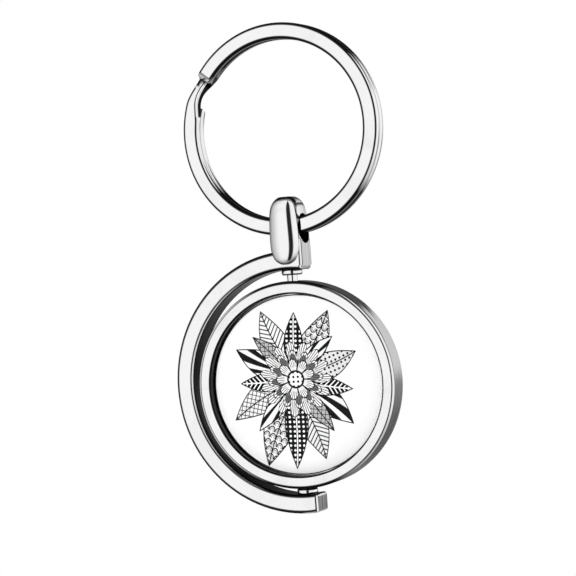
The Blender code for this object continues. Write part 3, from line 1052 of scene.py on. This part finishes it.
# %% Helpers for materials
def start_material(name):
    """A new material: its shader and the Object coordinates as a Value."""
    made = bpy.data.materials.new(name)
    made.use_nodes = True
    place = made.node_tree.nodes.new("ShaderNodeTexCoord").outputs["Object"]
    return made, made.node_tree.nodes["Principled BSDF"], Value(place)


def feed(shader, name, value):
    """Links a Value to one of the shader's sockets."""
    value.tree.links.new(value.socket, shader.inputs[name])


def paint(piece, material):
    """Gives the piece this one material."""
    piece.data.materials.clear()
    piece.data.materials.append(material)
    print(f"{piece.name} is {material.name}")


# %% [markdown]
# ## Metal
# Plated metal is nearly a mirror, and what tells it from a computer's mirror is what handling and
# polishing leave: faint cloudy patches where it is less bright, and hair-fine lines that run the
# way the wheel or the winding went. Both change the roughness, and the lines tilt the surface by a
# hair. A slow wave over the depth of each wall draws the light on it into streaks. Last, the edge
# tone kept on each mesh darkens the colour: painted dark reflections on the edges and painted
# shade on the deep walls. The plating is a little dimmer at a slant, so that walls seen from the
# side stay greyer than faces.

# %% Chrome and bright steel
PLATED_TINT = (0.94, 0.94, 0.945, 1)
CHROME_DULL = (0.7, 0.7, 0.71, 1)
STEEL_DULL = (0.74, 0.74, 0.75, 1)
PAINTED_REFLECTION_DARK = (0.012, 0.012, 0.013, 1)
SLANT_TINT = (0.74, 0.74, 0.74, 1)
ROUGHNESS = 0.05
CLOUD_SCALE = 260.0
CLOUD_LIMITS = (0.48, 0.72)
GRAIN_SCALE = 5200.0
LINES_ROUND = 3
LINE_SWAY = 2
LINE_LIMITS = (0.48, 0.7)
ROUGH_LINE_LIMITS = (0.45, 0.8)
WAVES_ROUND = 2
WAVE_DENSITY = 1000.0
WORN_DULLS, LINES_DULL, GRAIN_DULLS = 0.08, 0.25, 0.12
WORN_ROUGHENS, LINES_ROUGHEN, GRAIN_ROUGHENS, EDGE_ROUGHENS = 0.04, 0.05, 0.03, 0.15
WAVE_HEIGHT, LINE_HEIGHT, GRAIN_HEIGHT = 0.05, 0.001, 0.0003


def bright_metal(name, dull, centre_z, line_density):
    """Plated metal whose polishing lines run round the piece's own axis."""
    made, shader, place = start_material(name)
    x, depth, z = place.parts()
    angle = (z - centre_z).maths("ARCTAN2", x)
    clouds = place.noise(CLOUD_SCALE, 3.0, 0.6)
    lines = (angle * LINES_ROUND + clouds * LINE_SWAY).joined(0.0, depth * line_density).noise(1.0, 3.0)
    waves = (angle * WAVES_ROUND).joined(0.0, depth * WAVE_DENSITY).noise(1.0, 1.0)
    grain = place.noise(GRAIN_SCALE, 2.0, 0.6)
    worn = clouds.step(*CLOUD_LIMITS)
    edge = Value(place.node("ShaderNodeAttribute", {"attribute_name": "edge"}).outputs["Fac"])
    dulled = worn * WORN_DULLS + lines.step(*LINE_LIMITS) * LINES_DULL + grain * GRAIN_DULLS
    # The edge tone blends the colour towards black: painted dark reflection and painted shade.
    feed(shader, "Base Color", edge.blend(dulled.blend(PLATED_TINT, dull), PAINTED_REFLECTION_DARK))
    rough = worn * WORN_ROUGHENS + lines.step(*ROUGH_LINE_LIMITS) * LINES_ROUGHEN
    rough = rough + grain * GRAIN_ROUGHENS + edge * EDGE_ROUGHENS + ROUGHNESS
    feed(shader, "Roughness", rough)
    height = waves * WAVE_HEIGHT + lines * LINE_HEIGHT + grain * GRAIN_HEIGHT
    feed(shader, "Normal", height.bump(1.0, MM))
    shader.inputs["Metallic"].default_value = 1.0
    shader.inputs["Specular Tint"].default_value = SLANT_TINT
    return made


ring_steel = bright_metal("bright_steel_wire", STEEL_DULL, ring_centre_z, 5000.0)
frame_chrome = bright_metal("polished_casting", CHROME_DULL, bar_centre.z, 4000.0)
disc_chrome = bright_metal("polished_medallion", CHROME_DULL, DISC_CENTRE.z, 3000.0)
paint(wire, ring_steel)
paint(medallion, disc_chrome)
for piece in (bar, upper_pin, lower_pin):
    paint(piece, frame_chrome)

# %% [markdown]
# ## The print
# The plate carries line art in black and grey on white. The design here is a general one, a
# flower with leaves, each filled with a different drawn pattern. A leaf is worked out in its own
# coordinates, along it and across it. Its outline is where the distance across reaches its width
# at that point, and veins, scales and rays are repeats of the same two numbers. Leaves are laid one
# over the other as a draughtsman would, each one covering what lies under it.

# %% Ink
PRINT_WHITE = (0.94, 0.94, 0.94, 1)
INK_BLACK = (0.006, 0.006, 0.006, 1)
LINE = 0.15
SOFT = 0.03


def repeated(value, count):
    """Rises from 0 to 1, this many times over the value's unit."""
    return (value * count).maths("FRACT")


def nearness(distance, width):
    """1 on a line of this half width, and 0 away from it."""
    return abs(distance).step(width - SOFT, width + SOFT, 1.0, 0.0)


print("ink lines are", LINE, "mm from their middle to their side")

# %% Patterns
def veins(along, across, size, slant=0.8, per_mm=1.35, width=0.15):
    """Fine lines that leave the midrib on a slant."""
    lines = repeated(along * size - abs(across) * slant, per_mm)
    return nearness(lines - 0.5, width)


def scales(along, across, size, centre=0.8, narrow=1.6, outer=0.55, inner=0.28, faint=0.7):
    """Rows of small arches, one inside the other, each row shifted by half an arch."""
    row = (along * size).maths("FLOOR")
    within = repeated(along * size, 1.0) - centre
    column = repeated(across + row * 0.5, 1.0) - 0.5
    arch = (within * within + column * column * narrow).maths("SQRT")
    return nearness(arch - outer, 0.1).maths("MAXIMUM", nearness(arch - inner, 0.07) * faint)


def rays(along, across, size, behind=1.2, count=4.4):
    """Black and white rays that fan out from a point behind the leaf's base."""
    fan = across / (along * size + behind)
    return (repeated(fan, count) - 0.5).step(-0.08, 0.02)


def dots(along, across, size, per_mm=1.4, inner=0.22, outer=0.3):
    """Dots in a square order."""
    u = repeated(along * size, per_mm) - 0.5
    v = repeated(across, per_mm) - 0.5
    return (u * u + v * v).maths("SQRT").step(inner, outer, 1.0, 0.0)


def netting(along, across, size, per_mm=1.1, width=0.09):
    """Two sets of fine lines that cross."""
    one = nearness(repeated(along * size + across, per_mm) - 0.5, width)
    return one.maths("MAXIMUM", nearness(repeated(along * size - across, per_mm) - 0.5, width))


print("patterns:", ", ".join(fill.__name__ for fill in (veins, scales, rays, dots, netting)))

# %% Leaves and petals
LEAF_FULLNESS = 2.6
PETAL_ROUNDNESS = 1.5
STRIPES = 6.0
STRIPE_WIDTH = 0.16
INNER_BORDER = 0.55


def leaf(paper, u, v, base, lean, size, width, curl, fill, wash):
    """Lays one leaf on the ink so far: base in mm, lean in degrees from upright, size and width
    in mm. wash is the grey under its pattern, and a wash of 1 turns black and white round."""
    cos, sin = math.cos(math.radians(lean)), math.sin(math.radians(lean))
    from_u, from_v = u - base[0], v - base[1]
    along = (from_u * sin + from_v * cos) / size
    across = from_u * cos - from_v * sin + along * (1 - along) * curl
    inside_ends = (along > 0.0) * (along < 1.0)
    half = along.maths("MAXIMUM", 0.0).maths("SQRT") * (1 - along) * (LEAF_FULLNESS * width)
    room = half - abs(across)
    inside = room.step(-SOFT, SOFT) * inside_ends
    outline = room.step(LINE, LINE + SOFT * 2, 1.0, 0.0)
    midrib = nearness(across, LINE * 0.6)
    pattern = fill(along, across, size).maths("MAXIMUM", midrib)
    pattern = 1 - pattern if wash == 1 else pattern.maths("MAXIMUM", wash)
    return paper * (1 - inside) + pattern.maths("MAXIMUM", outline) * inside


def flower(paper, u, v, centre, petals, core):
    """Rings of petals round a dotted heart."""
    from_u, from_v = u - centre[0], v - centre[1]
    reach = (from_u * from_u + from_v * from_v).maths("SQRT")
    angle = from_v.maths("ARCTAN2", from_u) / math.tau + 0.5
    for count, ring, shift, wash in petals:
        fold = repeated(angle + shift, count) - 0.5
        edge = (1 - fold * fold * PETAL_ROUNDNESS) * ring
        inside = (edge - reach).step(-SOFT, SOFT)
        outline = (edge - reach).step(LINE, LINE + SOFT * 2, 1.0, 0.0)
        parting = ((0.5 - abs(fold)) * reach * (math.tau / count)).step(LINE * 0.5, LINE, 1.0, 0.0)
        stripes = nearness(repeated(fold, STRIPES) - 0.5, STRIPE_WIDTH)
        stripes = stripes * (reach / ring).step(0.55, 0.62, 0.3, 1.0)
        inner = (edge - reach - INNER_BORDER).step(-SOFT, SOFT) * wash
        drawn = outline.maths("MAXIMUM", parting).maths("MAXIMUM", stripes).maths("MAXIMUM", inner)
        paper = paper * (1 - inside) + drawn * inside
    heart = (core - reach).step(-SOFT, SOFT)
    spots = dots(from_u, from_v, 1.0)
    ringed = nearness(reach - core + LINE, LINE)
    return paper * (1 - heart) + spots.maths("MAXIMUM", ringed) * heart


widest = LEAF_FULLNESS * 2 / 3 / math.sqrt(3)
print("half a leaf at its widest is", round(widest, 2), "times its width value")

# %% The drawing
# Each leaf has a base, a lean in degrees, a length, half a width, a curl, a pattern and its grey.
LEAVES = (
    ((-1.0, -2.0), 205, 11.2, 2.7, -2.0, scales, 0.10),
    ((-0.2, -2.0), 158, 10.2, 2.5, 2.0, veins, 0.16),
    ((-2.0, 0.0), 240, 10.0, 2.4, -1.6, netting, 0.12),
    ((1.0, -0.5), 128, 9.4, 2.3, 1.6, rays, 0.0),
    ((0.5, 3.0), 32, 9.4, 2.3, -1.6, scales, 0.12),
    ((-1.5, 3.5), -26, 8.8, 2.2, 1.6, veins, 0.06),
    ((1.8, 1.8), 70, 8.2, 2.1, -1.2, dots, 0.22),
    ((-2.4, 2.2), -64, 8.2, 2.1, 1.2, rays, 0.0),
    ((-2.6, 0.8), 268, 6.8, 1.5, 0.6, veins, 1),
    ((1.6, 0.2), 100, 7.2, 1.5, -0.6, veins, 1),
    ((-0.8, -2.4), 182, 10.4, 1.9, 0.8, dots, 1),
    ((-0.4, 3.4), 3, 7.6, 1.6, 0.5, dots, 1),
    ((0.9, 2.8), 50, 6.6, 1.3, 0.4, rays, 1),
    ((-2.2, 3.0), -46, 6.6, 1.3, -0.4, netting, 0.5),
    ((0.8, -1.4), 143, 7.4, 1.4, 0.4, netting, 0.5),
    ((-1.8, -1.2), 222, 7.6, 1.4, -0.4, rays, 1),
)
# Each ring has a number of petals, a radius, a share of a turn and the grey of its middle.
PETALS = ((15, 5.8, 0.0, 0.12), (12, 4.5, 0.03, 0.85), (9, 3.2, 0.06, 0.1))
FLOWER_PLACE = (-0.4, 0.8)
HEART_RADIUS = 1.4
# A dark ring at the plate's rim is a painted shade of the gap by the bezel wall.
RIM_PAINTED_SHADE = (PLATE_RADIUS / MM - 0.22, PLATE_RADIUS / MM - 0.12)
print("the print has", len(LEAVES), "leaves and", len(PETALS), "rings of petals")

# %% Both prints
MOTTLE_SCALE = 900.0
PAPER_SCALE = 2500.0
MOTTLE_STAIN = 0.015
PLATE_ROUGHNESS = 0.32
INK_SMOOTHS = 0.08
MOTTLE_ROUGHENS = 0.06
INK_STEP = 0.01 * MM
PRINT_GLOSS = 0.1


def printed(name, side):
    """White coated plate with the drawing in black ink, and a painted shade round its rim. side is 1 in
    front and -1 behind.
    """
    made, shader, place = start_material(name)
    x, y, z = place.parts()
    u = (x * math.cos(DISC_TURN) + y * math.sin(DISC_TURN)) * (side / MM)
    v = (z - DISC_CENTRE.z) / MM
    ink = u * 0.0
    for base, lean, size, width, curl, fill, wash in LEAVES:
        ink = leaf(ink, u, v, base, lean, size, width, curl, fill, wash)
    ink = flower(ink, u, v, FLOWER_PLACE, PETALS, HEART_RADIUS)
    # The painted shade round the rim joins the ink.
    ink = ink.maths("MAXIMUM", (u * u + v * v).maths("SQRT").step(*RIM_PAINTED_SHADE))
    mottle = place.noise(MOTTLE_SCALE, 3.0, 0.6)
    feed(shader, "Base Color", (ink + mottle * MOTTLE_STAIN).blend(PRINT_WHITE, INK_BLACK))
    feed(shader, "Roughness", PLATE_ROUGHNESS - ink * INK_SMOOTHS + mottle * MOTTLE_ROUGHENS)
    feed(shader, "Normal", (ink + place.noise(PAPER_SCALE) * 0.4).bump(0.08, INK_STEP))
    shader.inputs["Specular IOR Level"].default_value = PRINT_GLOSS
    return made


paint(plates["front"], printed("front_print", 1))
paint(plates["back"], printed("back_print", -1))

# %% [markdown]
# ## The tape
# The two pads keep the frame's own solids. All that could be seen of them is a grey edge, a little
# mottled, as foam tape is.

# %% Tape
FOAM_SCALE = 4000.0
FOAM_DARK = (0.38, 0.38, 0.39, 1)
FOAM_LIGHT = (0.52, 0.52, 0.53, 1)

tape, tape_shader, tape_place = start_material("adhesive_tape")
foam = tape_place.noise(FOAM_SCALE, 3.0, 0.7)
feed(tape_shader, "Base Color", foam.blend(FOAM_DARK, FOAM_LIGHT))
feed(tape_shader, "Roughness", foam * 0.15 + 0.75)
feed(tape_shader, "Normal", foam.bump(0.4, 0.02 * MM))
for name in ("front_adhesive_pad", "back_adhesive_pad"):
    paint(frame["nodes"][name], tape)

# %% [markdown]
# ## A white studio
# Bright metal shows nothing but its surroundings, so the studio is most of its look. The camera
# sees plain white. What the metal sees is a white tent that is a little dimmer to the left, with a
# black flag to the right that draws a dark stripe down the loop and the pins, and a grey cloth beside
# it. Black cloth hangs high up behind, and the floor is greyer than the tent. Straight behind the
# object stands a screen that shades the side walls. It is pale at the upper right, grey low down and
# nearly black above and at the upper left. A soft bright patch low on the left is there for the
# wire's cut end. Soft lamps on four sides and above light the print, however the medallion is turned.

# %% World
WHITE = (1, 1, 1, 1)
TENT = 0.98
TENT_AT_LEFT = 0.75 * TENT
TENT_TURNS_DIM = (-28, -110)
AMBIENT = 0.15
world = bpy.data.worlds.new("white_tent")
world.use_nodes = True
bpy.context.scene.world = world
bpy.context.scene.view_settings.view_transform = "Standard"
background = world.node_tree.nodes["Background"]
background.inputs["Color"].default_value = WHITE
ray = Value(world.node_tree.nodes.new("ShaderNodeTexCoord").outputs["Generated"])
path = world.node_tree.nodes.new("ShaderNodeLightPath")


def degrees_step(value, start, end, low=0.0, high=1.0):
    """A smooth step between two angles in degrees."""
    return value.step(math.radians(start), math.radians(end), low, high)


def band(value, rise, fall):
    """1 between two angles, with a soft border at each."""
    return degrees_step(value, *rise) * degrees_step(value, *fall, 1, 0)


x, y, z = ray.parts()
azimuth = x.maths("ARCTAN2", -y)
clock = z.maths("ARCTAN2", x)
offset = (x * x + z * z).maths("SQRT")
tent = degrees_step(azimuth, *TENT_TURNS_DIM, TENT, TENT_AT_LEFT)
print("the tent gives", TENT, "and at the left", round(TENT_AT_LEFT, 3))

# %% Flag, cloths and floor of the tent
FLAG = ((4, 10), (32, 38))
FLAG_FOOT = (-0.85, -0.65)
FLAG_DARKENS = 0.98
SIDE_CLOTH = ((30, 34), (36, 43))
SIDE_CLOTH_DARKENS = 0.5
HIGH_CLOTH_RISE, HIGH_CLOTH_DEPTH = (0.5, 0.8), (0.04, 0.3)
BACK_CLOTH_RISE, BACK_CLOTH_DEPTH = (0.36, 0.46), (0.2, 0.4)
CLOTH_DARKENS = 0.99
FLOOR_RISE = (-0.25, -0.85)
FLOOR_DARKENS = 0.5

flag = band(azimuth, *FLAG) * z.step(*FLAG_FOOT)
side_cloth = band(azimuth, *SIDE_CLOTH)
cloth = z.step(*HIGH_CLOTH_RISE) * y.step(*HIGH_CLOTH_DEPTH)
cloth = cloth.maths("MAXIMUM", z.step(*BACK_CLOTH_RISE) * y.step(*BACK_CLOTH_DEPTH))
tent = tent * (1 - flag * FLAG_DARKENS) * (1 - side_cloth * SIDE_CLOTH_DARKENS)
tent = tent * (1 - cloth * CLOTH_DARKENS) * (1 - z.step(*FLOOR_RISE) * FLOOR_DARKENS)
print("the flag stands from", FLAG[0][0], "to", FLAG[1][1], "degrees to the right")

# %% The screen behind
LOW_GREYS = (-80, -5, 0.42, 0.25)
RIGHT_PALE = (-22, 10, 0, 0.48)
OUTER_PART = (0.36, 0.42, 1.0, 1.3)
UPPER_LEFT_SIDE, UPPER_LEFT_FOOT = (0.06, -0.04), (-0.05, 0.05)
UPPER_LEFT_SHARE = 0.88
SCREEN_GAP = (0.13, 0.19)
SCREEN_RIM = (0.5, 0.62, 1, 0)
SCREEN_DEPTH = (0.3, 0.45)
FOOT_ANGLES = ((-65, -80), (-115, -100))
FOOT_GAP = 0.1
END_GLOW = (-0.81, 0.42, -0.42)
END_GLOW_REACH = (0.15, 0.35, 1, 0)
END_GLOW_LIGHT = 0.75

screen = degrees_step(clock, *LOW_GREYS) + degrees_step(clock, *RIGHT_PALE)
screen = screen * offset.step(*OUTER_PART)
upper_left = x.step(*UPPER_LEFT_SIDE) * z.step(*UPPER_LEFT_FOOT) * UPPER_LEFT_SHARE
black = z.step(*BACK_CLOTH_RISE).maths("MAXIMUM", upper_left)
screen = screen * (1 - black * CLOTH_DARKENS)
foot = degrees_step(clock, *FOOT_ANGLES[0]) * degrees_step(clock, *FOOT_ANGLES[1])
behind = (offset - foot * FOOT_GAP).step(*SCREEN_GAP) * offset.step(*SCREEN_RIM)
behind = y.step(*SCREEN_DEPTH) * behind
tent = tent * (1 - behind) + screen * behind
to_glow = ray.node("ShaderNodeVectorMath", {"operation": "DISTANCE"}, {0: ray, 1: END_GLOW})
glow = Value(to_glow.outputs["Value"]).step(*END_GLOW_REACH)
tent = tent.maths("MAXIMUM", glow * END_GLOW_LIGHT)
print("the screen reaches", SCREEN_RIM[1], "of the way to the side")

# %% Who sees what
seen = Value(path.outputs["Is Camera Ray"])
glossy = Value(path.outputs["Is Glossy Ray"])
mirrored = glossy.maths("MAXIMUM", Value(path.outputs["Is Transmission Ray"]))
strength = seen + (1 - seen) * (mirrored * tent + (1 - mirrored) * AMBIENT)
world.node_tree.links.new(strength.socket, background.inputs["Strength"])
print("world nodes:", len(world.node_tree.nodes))

# %% Floor
FLOOR_DROP = 30 * MM
FLOOR_RADIUS = 600 * MM
FLOOR_SIDES = 96
FLOOR_FADE = (30 * MM, 90 * MM)
FLOOR_COLOUR = (0.9, 0.9, 0.9, 1)
FLOOR_ROUGHNESS = 0.9
low_corner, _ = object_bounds()
rest()
bpy.ops.mesh.primitive_circle_add(
    vertices=FLOOR_SIDES, radius=FLOOR_RADIUS, fill_type="NGON",
    location=(0, 0, low_corner.z - FLOOR_DROP),
)
floor = named("floor")
floor.visible_glossy = False
pale, pale_shader, floor_place = start_material("pale_floor")
floor_x, floor_y, _ = floor_place.parts()
fade = (floor_x * floor_x + floor_y * floor_y).maths("SQRT").step(*FLOOR_FADE)
pale_shader.inputs["Base Color"].default_value = FLOOR_COLOUR
pale_shader.inputs["Roughness"].default_value = FLOOR_ROUGHNESS
shine = fade.node("ShaderNodeEmission", inputs={"Color": WHITE, "Strength": 1.0})
floor_path = fade.node("ShaderNodeLightPath")
both = fade.node("ShaderNodeMixShader", inputs={0: fade * Value(floor_path.outputs["Is Camera Ray"])})
links = pale.node_tree.links
links.new(pale_shader.outputs[0], both.inputs[1])
links.new(shine.outputs[0], both.inputs[2])
links.new(both.outputs[0], pale.node_tree.nodes["Material Output"].inputs["Surface"])
paint(floor, pale)

# %% Lamps
# Each lamp has a place and a width in metres, and a power in watts.
LAMPS = (
    ("front_lamp", (-0.03, -0.45, 0.02), 0.2, 1.33),
    ("back_lamp", (0.03, 0.45, 0.02), 0.2, 1.33),
    ("left_lamp", (-0.45, 0.0, 0.02), 0.2, 1.3),
    ("right_lamp", (0.45, 0.0, 0.02), 0.2, 1.3),
    ("top_lamp", (0.02, 0.05, 0.35), 0.35, 0.8),
)
for name, place, size, power in LAMPS:
    lamp = bpy.data.lights.new(name, "AREA")
    lamp.size = size
    lamp.energy = power
    holder = bpy.data.objects.new(name, lamp)
    bpy.context.scene.collection.objects.link(holder)
    holder.location = place
    aim = DISC_CENTRE - holder.location
    holder.rotation_euler = aim.to_track_quat("-Z", "Y").to_euler()
    holder.visible_glossy = False
print("lamps:", ", ".join(name for name, *_ in LAMPS))

# %% Back to object mode
rest()
